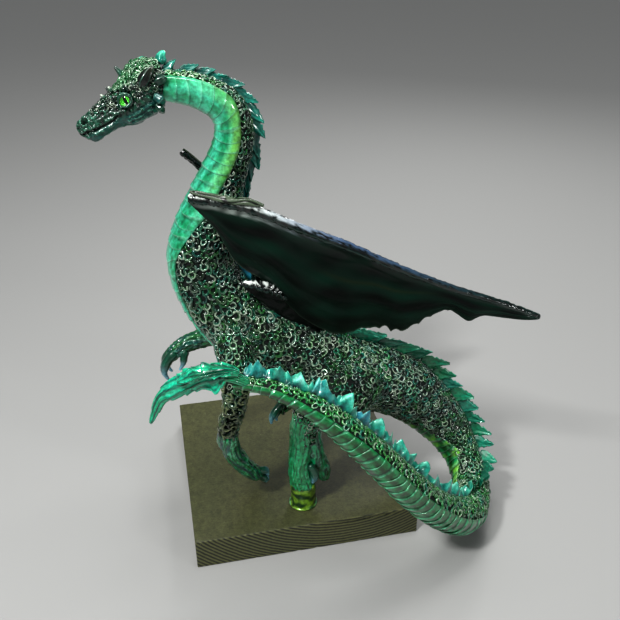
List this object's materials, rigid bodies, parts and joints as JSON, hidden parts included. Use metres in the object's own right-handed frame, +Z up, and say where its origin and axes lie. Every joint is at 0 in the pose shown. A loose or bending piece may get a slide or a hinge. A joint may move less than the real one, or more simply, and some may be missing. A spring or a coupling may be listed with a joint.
{
  "type": "dragon statue",
  "caption": "Winged dragon modelled in scaly painted clay, rearing on one hind leg with its tail curled forward, on a square stained wooden block.",
  "frame": {"origin": "centre of the plinth's underside", "axes": "+Z up, -X the way the dragon faces, -Y the dragon's left side, towards the viewer"},
  "size_m": [0.3346, 0.269, 0.4216],
  "materials": {
    "stained_wood": "dark olive-brown stain under a thin satin varnish, light scratches and chipped edges",
    "painted_clay": "polymer clay with pearl green paint, dark wash between the scales and pale metallic dry-brushing",
    "lacquered_clay": "green-black polymer clay skin, drawn into folds and glossy under lacquer",
    "eye_glass": "domed glass over a green iris with an upright slit pupil"
  },
  "bodies": {
    "root": {"plinth": "stained_wood", "dragon": "painted_clay", "wing_left": "lacquered_clay", "wing_right": "lacquered_clay", "eye_left": "eye_glass", "eye_right": "eye_glass"}
  },
  "joints": []
}
